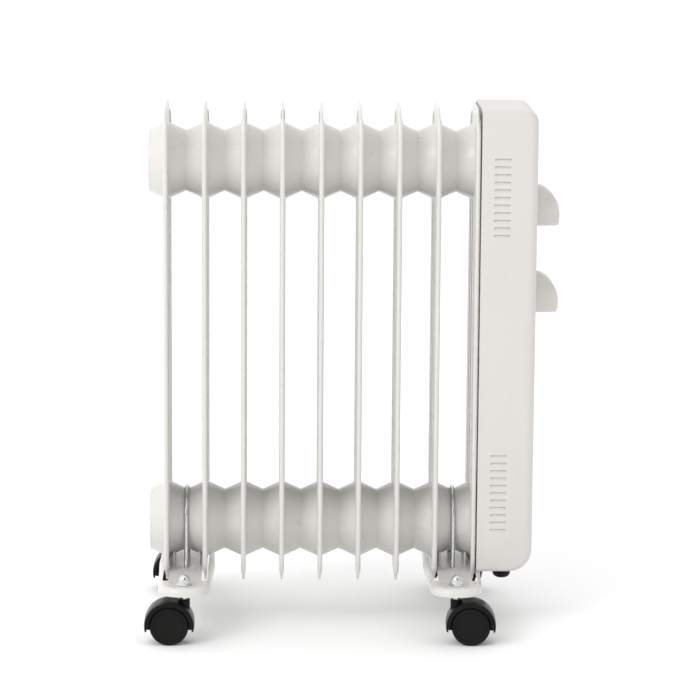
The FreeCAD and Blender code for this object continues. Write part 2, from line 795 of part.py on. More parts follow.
def build_bracket(label, x):
    outer = bracket_form("0", "bracket_top - bracket_lip", "bracket_top")
    inner = bracket_form("bracket_sheet", "bracket_top - bracket_lip - overcut", "bracket_under")
    tray = cut(outer, [inner])
    ribs = [block(("bracket_sheet", "2 * saddle_reach", "saddle_height + bracket_sheet / 2"),
                  ("%d * saddle_offset - bracket_sheet / 2" % side, "-saddle_reach",
                   "bracket_top - bracket_sheet / 2")) for side in (-1, 1)]
    seat = "header_valley + header_taper * (saddle_offset + bracket_sheet / 2) + saddle_clearance"
    cutters = [rod(seat, "fin_pitch", ("-fin_pitch / 2", "0", "header_low"), "x")]
    cutters += slot_cutter("(-fin_pitch / 2)") + slot_cutter("(fin_pitch / 2)")
    for side in (-1, 1):
        for hole, reach in (("wire_radius", "wire_bend"), ("stem_radius", "stem_reach")):
            cutters.append(rod(hole + " + hole_clearance", "bracket_sheet + 2 * overcut",
                               ("0", "%d * %s" % (side, reach), "bracket_under - overcut")))
    bracket = cut(fuse([tray] + ribs), cutters)
    node(place(bracket, (x, "0", "0")), label)


def build_u_bolt(label, x):
    leg = "header_low - bracket_under + wing_nut_height + thread_overhang"
    foot = "bracket_under - wing_nut_height - thread_overhang"
    pieces = [rod("wire_radius", leg, (x, "%d * wire_bend" % side, foot)) for side in (-1, 1)]
    pieces.append(bend("wire_bend", "wire_radius", "180", (x, "0", "header_low"),
                       Vector(0, 1, 0), Vector(0, 0, 1)))
    node(fuse(pieces), label)


def build_wing_nuts():
    nuts = []
    for x in ("left_bracket_x", "right_bracket_x"):
        for side in (-1, 1):
            y = "%d * wire_bend" % side
            foot = "bracket_under - wing_nut_height"
            hub = rod("wing_nut_radius", "wing_nut_height", (x, y, foot))
            wings = block(("wing_thickness", "wing_span", "wing_height"),
                          (x + " - wing_thickness / 2", y + " - wing_span / 2", foot))
            nuts.append(cut(fuse([hub, wings]), [rod("wire_radius", "wing_nut_height", (x, y, foot))]))
    node(group(nuts), "wing_nuts")


def build_acorn_nuts():
    nuts = []
    for x in ("left_bracket_x", "right_bracket_x"):
        for side in (-1, 1):
            nut = turned([("0", "stem_radius"), ("0", "acorn_flange"),
                          ("acorn_flange_thickness", "acorn_flange"),
                          ("acorn_flange_thickness", "acorn_radius"), ("acorn_height", "acorn_radius"),
                          ("acorn_height", "0"), ("stem_engaged", "0"), ("stem_engaged", "stem_radius")])
            rounded(nut, "acorn_round", lambda edge: is_ring(edge, measure("acorn_radius"))
                    and lies_at(edge, "x", measure("acorn_height")))
            nuts.append(place(nut, (x, "%d * stem_reach" % side, "bracket_top"),
                              Rotation(Vector(0, 1, 0), -90)))
    node(group(nuts), "acorn_nuts")


# ---- casters ------------------------------------------------------------------------------

def build_stems():
    stems = []
    for x in ("left_bracket_x", "right_bracket_x"):
        for side in (-1, 1):
            y = "%d * stem_reach" % side
            stem = rod("stem_radius", "bracket_top + stem_engaged - stem_seat", (x, y, "stem_seat"))
            collar = rod("collar_radius", "collar_thickness", (x, y, "bracket_under - collar_thickness"))
            stems.append(fuse([stem, collar]))
    node(group(stems), "caster_stems")


def caster_hood():
    """Wheel cover, middle web and stem socket, modelled with the stem on the Z axis."""
    axle = ("caster_trail", "-hood_width / 2", "wheel_radius")
    cover = rod("hood_radius", "hood_width", axle, "y")
    socket = rod("socket_radius", "boss_top - wheel_radius", ("0", "0", "wheel_radius"))
    side = "(hood_width - hood_web) / 2"
    inner = "hood_radius - hood_wall"
    width = "2 * (hood_radius + overcut)"
    cutters = [block((width, "hood_width + 2 * overcut", width),
                     ("caster_trail - hood_radius - overcut", "-hood_width / 2 - overcut",
                      "hood_tip - " + width)),
               rod("stem_radius + stem_clearance", "boss_top", ("0", "0", "stem_seat - stem_end_gap")),
               rod("axle_radius", "hood_width", axle, "y")]
    for low_y in ("-hood_width / 2 - overcut", "hood_web / 2"):
        cutters.append(rod(inner, side + " + overcut", ("caster_trail", low_y, "wheel_radius"), "y"))
        for way in (-1, 1):
            notch_x = "caster_trail + %d * (hood_radius - hood_wall)" % way
            cutters.append(rod("hood_notch", side + " + overcut", (notch_x, low_y, "hood_tip"), "y"))
    return cut(fuse([cover, socket]), cutters)


def caster_wheel(side):
    wheel = turned([("0", "axle_radius + axle_clearance"), ("0", "wheel_hub"),
                    ("wheel_width - wheel_face", "wheel_hub"),
                    ("wheel_width - wheel_face", "wheel_radius - wheel_tread"),
                    ("0", "wheel_radius - wheel_tread"), ("0", "wheel_radius"),
                    ("wheel_width", "wheel_radius"), ("wheel_width", "0"),
                    ("wheel_width - wheel_face / 2", "0"),
                    ("wheel_width - wheel_face / 2", "axle_radius + axle_clearance")])
    rounded(wheel, "wheel_edge", lambda edge: is_ring(edge, measure("wheel_radius")))
    turn = Rotation(Vector(0, 0, 1), 90 * side)
    return place(wheel, ("caster_trail", "%d * wheel_inner" % side, "wheel_radius"), turn)


def build_caster(corner, stem_x, stem_y):
    length = "2 * (wheel_inner + wheel_width - wheel_face / 2 - axle_recess)"
    axle = rod("axle_radius", length, ("caster_trail", "-(%s) / 2" % length, "wheel_radius"), "y")
    pieces = {"caster_hood_" + corner: caster_hood(),
              "caster_axle_" + corner: axle,
              "inner_wheel_" + corner: caster_wheel(1),
              "outer_wheel_" + corner: caster_wheel(-1)}
    for label, piece in pieces.items():
        item = group([piece])
        yaw = Rotation(Vector(0, 0, 1), SIZES["yaw_" + corner])
        node(place(item, (stem_x, stem_y, "0"), yaw), label)


def build_casters():
    build_stems()
    for side, stem_x in (("left", "left_bracket_x"), ("right", "right_bracket_x")):
        for row, stem_y in (("front", "-stem_reach"), ("back", "stem_reach")):
            build_caster(side + "_" + row, stem_x, stem_y)


# ---- check and write ----------------------------------------------------------------------

def check_document():
    doc.recompute()
    for item in doc.Objects:
        if "Invalid" in item.State or "Error" in item.State:
            raise RuntimeError("%s (%s) failed: %s" % (item.Label, item.Name, item.State))
    for item in subparts:
        if item.Shape.isNull() or not item.Shape.isValid() or not item.Shape.Solids:
            raise RuntimeError("%s has no valid solid" % item.Label)


def write_parts():
    os.makedirs("parts", exist_ok=True)
    for item in subparts:
        item.Shape.exportStep("parts/%s.step" % item.Label)


fill_sheet()
for fin_number in range(1, SIZES["fin_count"] + 1):
    build_fin(fin_number)
build_end_caps()
build_inner_ends()
build_elements()
build_housing()
build_controls()
build_terminal_block()
build_tilt_switch()
build_cord_inlet()
for bracket_side in ("left", "right"):
    build_bracket("bracket_" + bracket_side, bracket_side + "_bracket_x")
    build_u_bolt("u_bolt_" + bracket_side, bracket_side + "_bracket_x")
build_wing_nuts()
build_acorn_nuts()
build_casters()
check_document()
write_parts()
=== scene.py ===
"""Looks of the oil filled radiator heater, built round its CAD frame.  Metres, +Z up."""
import json
import math

import bmesh
import bpy
from mathutils import Matrix, Vector


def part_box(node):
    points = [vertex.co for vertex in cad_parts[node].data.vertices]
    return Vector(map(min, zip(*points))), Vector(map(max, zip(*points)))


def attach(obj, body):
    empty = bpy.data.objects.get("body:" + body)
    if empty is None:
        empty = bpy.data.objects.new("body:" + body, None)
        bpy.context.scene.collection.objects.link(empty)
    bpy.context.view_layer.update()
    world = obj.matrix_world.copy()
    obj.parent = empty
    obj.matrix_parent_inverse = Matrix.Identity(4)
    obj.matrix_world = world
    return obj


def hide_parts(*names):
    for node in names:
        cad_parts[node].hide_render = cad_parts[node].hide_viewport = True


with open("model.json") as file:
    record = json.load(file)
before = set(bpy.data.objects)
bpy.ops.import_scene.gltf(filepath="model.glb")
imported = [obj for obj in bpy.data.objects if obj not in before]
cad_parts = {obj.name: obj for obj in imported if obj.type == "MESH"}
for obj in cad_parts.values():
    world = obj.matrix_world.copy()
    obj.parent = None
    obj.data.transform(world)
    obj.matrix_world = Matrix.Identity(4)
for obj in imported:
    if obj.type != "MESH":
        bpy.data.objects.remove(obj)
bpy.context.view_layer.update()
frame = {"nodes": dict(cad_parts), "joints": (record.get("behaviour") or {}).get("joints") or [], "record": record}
MM = 0.001


# ---- camera -------------------------------------------------------------------------------

CAMERA_DISTANCE = 3.4
CAMERA_PITCH = math.radians(10.3)
CAMERA_YAW = math.radians(1.28)
CAMERA_ROLL = math.radians(0.4)
AIM_HEIGHT = 0.3011
LENS = 158.6


def add_camera():
    data = bpy.data.cameras.new("camera")
    data.lens = LENS
    data.sensor_width = 36
    camera = bpy.data.objects.new("camera", data)
    low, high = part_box("fin_4")
    centre_x = (low.x + high.x) / 2
    turn = Matrix.Rotation(-CAMERA_YAW, 4, "Z") @ Matrix.Rotation(math.pi / 2 - CAMERA_PITCH, 4, "X")
    turn = turn @ Matrix.Rotation(CAMERA_ROLL, 4, "Z")
    spot = Vector((centre_x, -CAMERA_DISTANCE * math.cos(CAMERA_PITCH),
                   AIM_HEIGHT + CAMERA_DISTANCE * math.sin(CAMERA_PITCH)))
    camera.matrix_world = Matrix.Translation(spot) @ turn
    bpy.context.scene.collection.objects.link(camera)
    bpy.context.scene.camera = camera


# ---- materials ----------------------------------------------------------------------------

class Shader:
    """A principled material and the few procedural nodes that feed it."""

    def __init__(self, name, **sockets):
        self.material = bpy.data.materials.new(name)
        self.material.use_nodes = True
        self.tree = self.material.node_tree
        self.surface = self.tree.nodes["Principled BSDF"]
        for socket, value in sockets.items():
            self.surface.inputs[socket.replace("_", " ")].default_value = value
        self.place = self.add("ShaderNodeTexCoord").outputs["Object"]

    def add(self, kind, **inputs):
        item = self.tree.nodes.new(kind)
        for socket, value in inputs.items():
            target = item.inputs[socket.replace("_", " ")]
            if isinstance(value, bpy.types.NodeSocket):
                self.tree.links.new(value, target)
            else:
                target.default_value = value
        return item

    def link(self, output, socket):
        self.tree.links.new(output, self.surface.inputs[socket])

    def noise(self, scale, detail=3.0, roughness=0.5):
        return self.add("ShaderNodeTexNoise", Vector=self.place, Scale=scale, Detail=detail,
                        Roughness=roughness).outputs["Fac"]

    def between(self, factor, low, high):
        item = self.add("ShaderNodeMapRange", Value=factor)
        item.inputs["To Min"].default_value = low
        item.inputs["To Max"].default_value = high
        return item.outputs["Result"]

    def blend(self, factor, first, second):
        item = self.tree.nodes.new("ShaderNodeMix")
        item.data_type = "RGBA"
        self.tree.links.new(factor, item.inputs["Factor"])
        item.inputs["A"].default_value = first
        item.inputs["B"].default_value = second
        return item.outputs["Result"]

    def bump(self, height, distance):
        item = self.add("ShaderNodeBump", Height=height, Distance=distance, Strength=1.0)
        self.link(item.outputs["Normal"], "Normal")


ENAMEL_ROUGHNESS = 0.28
MOULD_GRAIN_SCALE = 1500.0


def enamel(name, light, dark):
    """Baked enamel: faint orange peel, slight tone drift, a clear gloss."""
    shader = Shader(name, Coat_Weight=0.35, Coat_Roughness=0.12)
    drift = shader.between(shader.noise(9.0, 2.0), 0.0, 1.0)
    shader.link(shader.blend(drift, dark, light), "Base Color")
    shader.link(shader.between(shader.noise(60.0, 3.0), ENAMEL_ROUGHNESS - 0.05, ENAMEL_ROUGHNESS + 0.07),
                "Roughness")
    shader.bump(shader.noise(420.0, 2.0), 0.00006)
    return shader.material


def moulded(name, light, dark, roughness, grain=0.00004, **sockets):
    """Moulded plastic with a fine spark-eroded grain."""
    shader = Shader(name, **sockets)
    shader.link(shader.blend(shader.noise(14.0, 2.0), dark, light), "Base Color")
    shader.link(shader.between(shader.noise(90.0, 4.0), roughness - 0.06, roughness + 0.06), "Roughness")
    shader.bump(shader.noise(MOULD_GRAIN_SCALE, 4.0, 0.65), grain)
    return shader.material


def metal(name, light, dark, roughness, scratch=0.00002):
    """Plated or plain steel with a faint drawn texture."""
    shader = Shader(name, Metallic=1.0)
    shader.link(shader.blend(shader.noise(40.0, 3.0), dark, light), "Base Color")
    shader.link(shader.between(shader.noise(160.0, 4.0), roughness * 0.7, roughness * 1.4), "Roughness")
    shader.bump(shader.noise(700.0, 3.0), scratch)
    return shader.material


MATERIALS = {
    "white_enamel": enamel("white_enamel", (0.66, 0.65, 0.625, 1), (0.635, 0.625, 0.595, 1)),
    "white_plastic": moulded("white_plastic", (0.64, 0.62, 0.60, 1), (0.62, 0.60, 0.575, 1), 0.38),
    "panel_print": moulded("panel_print", (0.16, 0.16, 0.16, 1), (0.13, 0.13, 0.13, 1), 0.45,
                           grain=0.00001),
    "panel_film": moulded("panel_film", (0.72, 0.70, 0.67, 1), (0.69, 0.67, 0.64, 1), 0.5),
    "lamp_lens": moulded("lamp_lens", (0.60, 0.10, 0.03, 1), (0.45, 0.05, 0.02, 1), 0.12,
                         grain=0.00001, Coat_Weight=0.5),
    "chrome": metal("chrome", (0.68, 0.68, 0.69, 1), (0.58, 0.58, 0.60, 1), 0.06, 0.000004),
    "zinc_steel": metal("zinc_steel", (0.66, 0.67, 0.66, 1), (0.50, 0.51, 0.52, 1), 0.3),
    "inner_steel": metal("inner_steel", (0.55, 0.55, 0.54, 1), (0.44, 0.44, 0.43, 1), 0.4),
    "element_brass": metal("element_brass", (0.75, 0.56, 0.26, 1), (0.62, 0.44, 0.19, 1), 0.3),
    "black_plastic": moulded("black_plastic", (0.009, 0.009, 0.009, 1), (0.004, 0.004, 0.004, 1), 0.3,
                             Specular_IOR_Level=0.12),
    "wheel_plastic": moulded("wheel_plastic", (0.011, 0.010, 0.0095, 1), (0.006, 0.0055, 0.005, 1), 0.62,
                             Specular_IOR_Level=0.14),
}


def dress_frame():
    slots = {entry["node"]: entry["material_slot"] for entry in frame["record"]["subparts"]}
    for name, item in frame["nodes"].items():
        item.data.materials.clear()
        item.data.materials.append(MATERIALS[slots[name]])


# ---- floor and light ----------------------------------------------------------------------

FLOOR_REACH = 30.0
KEY_SPOT = (-2.2, -2.4, 2.6)
KEY_AIM = (0, 0, 0.3)
KEY_SIZE = 1.6
KEY_POWER = 40
WORLD_LEFT = (0.8, 0.0, -0.6)
WORLD_BRIGHT = 1.3
WORLD_DIM = 0.78
FLAG_WAY = (0.2, -0.78, 0.6)
FLAG_DARK = 0.05
FLAG_EDGES = (0.955, 0.985)


def add_floor():
    mesh = bpy.data.meshes.new("floor")
    corners = [(x * FLOOR_REACH, y * FLOOR_REACH, 0) for x, y in ((-1, -1), (1, -1), (1, 1), (-1, 1))]
    mesh.from_pydata(corners, [], [(0, 1, 2, 3)])
    floor = bpy.data.objects.new("floor", mesh)
    bpy.context.scene.collection.objects.link(floor)
    shader = Shader("floor_paper", Roughness=0.9)
    shader.link(shader.blend(shader.noise(0.8, 2.0), (0.965, 0.965, 0.965, 1), (0.975, 0.975, 0.975, 1)),
                "Base Color")
    mesh.materials.append(shader.material)


def add_key_light():
    data = bpy.data.lights.new("key", "AREA")
    data.shape = "RECTANGLE"
    data.size = data.size_y = KEY_SIZE
    data.energy = KEY_POWER
    lamp = bpy.data.objects.new("key", data)
    lamp.location = KEY_SPOT
    lamp.rotation_euler = (Vector(KEY_AIM) - Vector(KEY_SPOT)).to_track_quat("-Z", "Y").to_euler()
    bpy.context.scene.collection.objects.link(lamp)


def add_world_fade(tree, place, way, near, far, edges=(-1.0, 1.0)):
    """Sky strength that changes with the angle to a direction: near away from it, far towards it."""
    dot = tree.nodes.new("ShaderNodeVectorMath")
    dot.operation = "DOT_PRODUCT"
    tree.links.new(place, dot.inputs[0])
    dot.inputs[1].default_value = Vector(way).normalized()
    fade = tree.nodes.new("ShaderNodeMapRange")
    tree.links.new(dot.outputs["Value"], fade.inputs["Value"])
    for socket, value in zip(("From Min", "From Max", "To Min", "To Max"), (*edges, near, far)):
        fade.inputs[socket].default_value = value
    return fade.outputs["Result"]


def add_light():
    world = bpy.data.worlds.new("studio")
    bpy.context.scene.world = world
    world.use_nodes = True
    tree = world.node_tree
    place = tree.nodes.new("ShaderNodeTexCoord").outputs["Generated"]
    across = add_world_fade(tree, place, WORLD_LEFT, WORLD_BRIGHT, WORLD_DIM)
    flag = add_world_fade(tree, place, FLAG_WAY, 1.0, FLAG_DARK, FLAG_EDGES)
    product = tree.nodes.new("ShaderNodeMath")
    product.operation = "MULTIPLY"
    tree.links.new(across, product.inputs[0])
    tree.links.new(flag, product.inputs[1])
    tree.links.new(product.outputs["Value"], tree.nodes["Background"].inputs["Strength"])
    tree.nodes["Background"].inputs["Color"].default_value = (1.0, 1.0, 1.0, 1)
    add_key_light()
    bpy.context.scene.view_settings.view_transform = "Standard"


# ---- mesh helpers -------------------------------------------------------------------------

SHARP_ANGLE = math.radians(32)
ON_AXIS = 1e-7
LATHE_FINE = 128


def rounded(corners, closed=False, steps=6):
    """A line of corners (a, b, radius), each turned with an arc of its radius."""
    count = len(corners)
    line = []
    for index, (a, b, radius) in enumerate(corners):
        corner = Vector((a, b))
        if radius == 0 or (not closed and index in (0, count - 1)):
            line.append(corner)
            continue
        before = (Vector(corners[index - 1][:2]) - corner).normalized()
        after = (Vector(corners[(index + 1) % count][:2]) - corner).normalized()
        half = before.angle(after) / 2
        centre = corner + (before + after).normalized() * radius / math.sin(half)
        start = corner + before * radius / math.tan(half) - centre
        end = corner + after * radius / math.tan(half) - centre
        sweep = start.angle_signed(end)
        for step in range(steps + 1):
            angle = -sweep * step / steps
            turn = Matrix.Rotation(angle, 2)
            line.append(centre + turn @ start)
    return line


def smooth(mesh):
    mesh.shade_smooth()
    mesh.set_sharp_from_angle(angle=SHARP_ANGLE)


class Shape:
    """Collects the points and faces of one piece, which may have several closed surfaces."""

    def __init__(self):
        self.points = []
        self.faces = []

    def ring(self, points):
        first = len(self.points)
        self.points += [tuple(point) for point in points]
        return list(range(first, len(self.points)))

    def bridge(self, first, second):
        count = len(first)
        for index in range(count):
            following = (index + 1) % count
            self.faces.append((first[index], first[following], second[following], second[index]))

    def fan(self, tip, rim):
        for index in range(len(rim)):
            self.faces.append((tip, rim[index], rim[(index + 1) % len(rim)]))

    def tube(self, rings):
        indices = [self.ring(ring) for ring in rings]
        for first, second in zip(indices, indices[1:]):
            self.bridge(first, second)
        self.faces += [tuple(indices[0]), tuple(indices[-1])]

    def lathe(self, profile, centre, along, segments=96):
        """Turns (along, radius) points about an axis; a radius of nought closes the surface."""
        along = Vector(along).normalized()
        side = along.orthogonal().normalized()
        other = along.cross(side)
        rings = []
        for place, radius in profile:
            middle = Vector(centre) + along * place
            if radius < ON_AXIS:
                rings.append(self.ring([middle]))
                continue
            turns = [2 * math.pi * step / segments for step in range(segments)]
            rings.append(self.ring([middle + (side * math.cos(turn) + other * math.sin(turn)) * radius
                                    for turn in turns]))
        for first, second in zip(rings, rings[1:]):
            if len(first) == 1 or len(second) == 1:
                tip, rim = (first[0], second) if len(first) == 1 else (second[0], first)
                self.fan(tip, rim)
            else:
                self.bridge(first, second)

    def sweep(self, path, radii, sides=20):
        """A round bar along a path, with its own radius at each point."""
        path = [Vector(point) for point in path]
        side = None
        rings = []
        for index, point in enumerate(path):
            ahead = (path[min(index + 1, len(path) - 1)] - path[max(index - 1, 0)]).normalized()
            side = ahead.orthogonal() if side is None else side - ahead * side.dot(ahead)
            side.normalize()
            other = ahead.cross(side)
            turns = [2 * math.pi * step / sides for step in range(sides)]
            rings.append([point + (side * math.cos(turn) + other * math.sin(turn)) * radii[index]
                          for turn in turns])
        self.tube(rings)

    def moved(self, matrix):
        self.points = [tuple(matrix @ Vector(point)) for point in self.points]
        return self

    def mesh(self, name):
        """The collected faces as a mesh whose normals all point outwards."""
        mesh = bpy.data.meshes.new(name)
        mesh.from_pydata(self.points, [], self.faces)
        mend = bmesh.new()
        mend.from_mesh(mesh)
        bmesh.ops.recalc_face_normals(mend, faces=mend.faces)
        mend.to_mesh(mesh)
        mend.free()
        return mesh

    def piece(self, name, slot, body, replaces=(), finish=None):
        mesh = self.mesh(name)
        smooth(mesh)
        mesh.materials.append(MATERIALS[finish or slot])
        item = bpy.data.objects.new(name, mesh)
        bpy.context.scene.collection.objects.link(item)
        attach(item, body)
        if replaces:
            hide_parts(*replaces)
        return item


def carve(item, *cutters):
    """Cuts closed shapes out of a piece and keeps the result as its mesh."""
    tools = []
    for shape in cutters:
        tool = bpy.data.objects.new("cutter", shape.mesh("cutter"))
        bpy.context.scene.collection.objects.link(tool)
        step = item.modifiers.new("cut", "BOOLEAN")
        step.operation = "DIFFERENCE"
        step.solver = "EXACT"
        step.object = tool
        tools.append(tool)
    graph = bpy.context.evaluated_depsgraph_get()
    carved = bpy.data.meshes.new_from_object(item.evaluated_get(graph))
    item.modifiers.clear()
    item.data = carved
    for tool in tools:
        bpy.data.objects.remove(tool)
    smooth(carved)


def middle_of(node):
    """The centre of a CAD piece's box."""
    low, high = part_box(node)
    return (low + high) / 2


# ---- fins ---------------------------------------------------------------------------------

FIN_COUNT = 9
SHEET = 2.4 * MM
HEM = 2.7 * MM
HEM_INSET = 2.2 * MM
HEM_SWEEP = math.radians(46)
HEM_TAPER = 7 * MM
HEM_TIP_SHARE = 0.45
HEM_STEPS = 12
FIN_CORNER = 32 * MM
CROWN = 42.5 * MM
VALLEY = 33 * MM
ROOT_ROUNDING = 4 * MM
HEADER_FOOT = 7 * MM
HEADER_FOOT_SLOPE = 0.5 * MM
HEADER_FOOT_DEPTH = 0.2 * MM
HEADER_STAND = 0.02 * MM
CHANNEL_WIDTH = 24 * MM
CHANNEL_THICKNESS = 6.2 * MM
CHANNEL_SPREAD = 34 * MM
CHANNEL_SLOPE = 4 * MM
CHANNEL_LAP = 1 * MM
CHANNEL_ROUNDING = 3 * MM

# the rim from face to face: a share of half the sheet, and how far in from the edge
RIM_PROFILE = ((1.0, 0.9 * MM), (0.75, 0.3 * MM), (0.35, 0.0), (0.0, 0.25 * MM), (-0.35, 0.0),
               (-0.75, 0.3 * MM), (-1.0, 0.9 * MM))

fin_low, fin_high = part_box("fin_2")
fin_edge = fin_high.y - (HEM - HEM_INSET)
fin_pitch = middle_of("fin_3").x - middle_of("fin_2").x
fin_one_x = middle_of("fin_2").x - fin_pitch
header_levels = (middle_of("lower_end_cap").z, middle_of("upper_end_cap").z)
taper = (CROWN - VALLEY) / (fin_pitch / 2)


def fin_outline(inset, steps=10):
    half = fin_edge - inset
    low, high = fin_low.z + inset, fin_high.z - inset
    radius = FIN_CORNER - inset
    return rounded([(-half, low, radius), (half, low, radius), (half, high, radius),
                    (-half, high, radius)], closed=True, steps=steps)


def add_sheet(shape, x):
    """Two pressed sheets whose rims meet in a fine seam."""
    shape.tube([[(x + share * SHEET / 2, y, z) for y, z in fin_outline(inset)]
                for share, inset in RIM_PROFILE])


def add_hems(shape, x):
    """The rolled edge along each long side, tapering out round the corners."""
    bend = FIN_CORNER - HEM_INSET
    turns = [HEM_SWEEP * step / HEM_STEPS for step in range(HEM_STEPS + 1)]
    for side in (-1, 1):
        path = []
        for level, way in ((fin_low.z + FIN_CORNER, -1), (fin_high.z - FIN_CORNER, 1)):
            arc = [(x, side * (fin_edge - FIN_CORNER + bend * math.cos(turn)),
                    level + way * bend * math.sin(turn)) for turn in turns]
            path += arc[::-1] if way < 0 else arc
        ends = [Vector(path[0]), Vector(path[-1])]
        radii = []
        for point in path:
            gap = min((Vector(point) - end).length for end in ends)
            growth = (1 - HEM_TIP_SHARE) * math.sqrt(gap / HEM_TAPER)
            radii.append(HEM * min(1.0, HEM_TIP_SHARE + growth))
        shape.sweep(path, radii)


def add_header(shape, x, level, way, reach):
    """Half of the oil tube on one face of a fin: a rounded root, then a cone down to its end."""
    face = SHEET / 2 + HEADER_STAND
    foot = CROWN + HEADER_FOOT
    end = CROWN - taper * reach
    root = CROWN - taper * SHEET / 2
    profile = rounded([(HEADER_FOOT_DEPTH, foot, 0), (face, foot - HEADER_FOOT_SLOPE, 0),
                       (face, root, ROOT_ROUNDING), (reach, end, 0), (reach, 0, 0)])
    shape.lathe(profile, (x, 0, level), (way, 0, 0), LATHE_FINE)


def add_channels(shape, x):
    """Three pressed oil channels between the two headers."""
    half, flat = CHANNEL_WIDTH / 2, CHANNEL_WIDTH / 2 - CHANNEL_SLOPE
    out = CHANNEL_THICKNESS / 2
    section = rounded([(SHEET / 4, -half - CHANNEL_LAP, 0), (SHEET / 2, -half, CHANNEL_ROUNDING),
                       (out, -flat, CHANNEL_ROUNDING), (out, flat, CHANNEL_ROUNDING),
                       (SHEET / 2, half, CHANNEL_ROUNDING), (SHEET / 4, half + CHANNEL_LAP, 0)])
    loop = [(a, b) for a, b in section] + [(-a, b) for a, b in reversed(section)]
    for centre in (-CHANNEL_SPREAD, 0, CHANNEL_SPREAD):
        shape.tube([[(x + a, centre + b, level) for a, b in loop] for level in header_levels])


def build_fins():
    for number in range(1, FIN_COUNT + 1):
        node = "fin_%d" % number
        x = fin_one_x + (number - 1) * fin_pitch
        low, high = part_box(node)
        shape = Shape()
        add_sheet(shape, x)
        add_hems(shape, x)
        add_channels(shape, x)
        for level in header_levels:
            add_header(shape, x, level, -1, x - low.x)
            add_header(shape, x, level, 1, high.x - x)
        shape.piece("pressed_" + node, "white_enamel", "radiator", [node])


# ---- header caps --------------------------------------------------------------------------

CAP_EDGE = 1.5 * MM
CAP_DISH = 0.7 * MM
CAP_BEND = 1.2 * MM
CAP_RIM_SHARE = 0.82
CAP_DISH_SHARE = 0.76


def build_end_caps():
    """Pressed discs that close the headers, with a rolled rim and a shallow dish."""
    for node in ("lower_end_cap", "upper_end_cap"):
        low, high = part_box(node)
        thickness, radius = high.x - low.x, (high.y - low.y) / 2
        profile = rounded([(0, 0, 0), (0, radius, 0), (thickness, radius, CAP_EDGE),
                           (thickness, radius * CAP_RIM_SHARE, CAP_BEND),
                           (thickness - CAP_DISH, radius * CAP_DISH_SHARE, CAP_BEND),
                           (thickness - CAP_DISH, 0, 0)])
        shape = Shape()
        shape.lathe(profile, (high.x, 0, middle_of(node).z), (-1, 0, 0), LATHE_FINE)
        shape.piece("pressed_" + node, "white_enamel", "radiator", [node])


# ---- housing ------------------------------------------------------------------------------

FOOT_CORNER = 25 * MM
TOP_CORNER = 14 * MM
HOUSING_WALL = 2.5 * MM
FRONT_ROUNDING = 9 * MM
LEVEL_ROUNDING = 5 * MM
SIDE_ROUNDING = 8 * MM
PANEL_RECESS = 1.2 * MM
PANEL_CORNER = 6 * MM
PANEL_GAP = 0.1 * MM
VENT_COUNT = 11
VENT_PITCH = 8.25 * MM
VENT_LENGTH = 17.4 * MM
VENT_HEIGHT = 3.8 * MM
VENT_DEPTH = 2.3 * MM
VENT_INSET = 14 * MM
VENT_OVERCUT = 0.1
UPPER_VENT_DROP = 52 * MM
LOWER_VENT_DROP = 377 * MM


def housing_form(low, high, roundings, inset, steps=10):
    """A closed box in XZ whose two sides roll into the front, the top and the bottom."""
    front, level, side = roundings
    rings = []
    for step in range(steps + 1):
        turn = math.pi / 2 * (1 - step / steps)
        share = 1 - math.cos(turn)
        across = high.y - side * (1 - math.sin(turn))
        x, z_low, z_high = high.x - front * share, low.z + level * share, high.z - level * share
        cut = inset + front * share
        ring = rounded([(low.x, z_low, 0), (x, z_low, FOOT_CORNER - cut),
                        (x, z_high, TOP_CORNER - cut), (low.x, z_high, 0)], closed=True, steps=16)
        rings.append((across, ring))
    shape = Shape()
    loops = [[(x, -across, z) for x, z in ring] for across, ring in rings]
    loops += [[(x, across, z) for x, z in ring] for across, ring in reversed(rings)]
    shape.tube(loops)
    return shape


def vent_cutters(low, high):
    """Louvres: each slopes inwards from its lower edge to its deepest just under its upper edge, stopping short of
    the inside of the wall.
    """
    shape = Shape()
    start = low.x + VENT_INSET
    for side in (-1, 1):
        inside = side * (high.y - VENT_DEPTH)
        outside = side * (high.y + VENT_DEPTH * VENT_OVERCUT)
        for drop in (UPPER_VENT_DROP, LOWER_VENT_DROP):
            for step in range(VENT_COUNT):
                top = high.z - drop - step * VENT_PITCH
                section = [(outside, top), (inside, top),
                           (outside, top - VENT_HEIGHT * (1 + VENT_OVERCUT))]
                shape.tube([[(x, y, z) for y, z in section] for x in (start, start + VENT_LENGTH)])
    return shape


def build_housing():
    """The moulded shell: open at the fin end, recessed for the panel, louvred on both sides."""
    low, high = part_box("housing_shell")
    roundings = (FRONT_ROUNDING, LEVEL_ROUNDING, SIDE_ROUNDING)
    shape = housing_form(low, high, roundings, 0)
    item = shape.piece("moulded_housing_shell", "white_plastic", "radiator", ["housing_shell"])
    wall = Vector((HOUSING_WALL,) * 3)
    inside_low = low + wall
    inside_low.x = low.x - HOUSING_WALL
    inner = [rounding - HOUSING_WALL for rounding in roundings]
    hollow = housing_form(inside_low, high - wall, inner, HOUSING_WALL)
    panel_low, panel_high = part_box("control_panel")
    recess = Shape()
    outline = rounded([(side * (panel_high.y + PANEL_GAP), level, PANEL_CORNER) for side, level in
                       ((-1, panel_low.z - PANEL_GAP), (1, panel_low.z - PANEL_GAP),
                        (1, panel_high.z + PANEL_GAP), (-1, panel_high.z + PANEL_GAP))], closed=True)
    recess.tube([[(x, y, z) for y, z in outline] for x in (high.x - PANEL_RECESS, high.x + PANEL_RECESS)])
    carve(item, hollow, recess, vent_cutters(low, high))


# ---- knobs and panel print ----------------------------------------------------------------

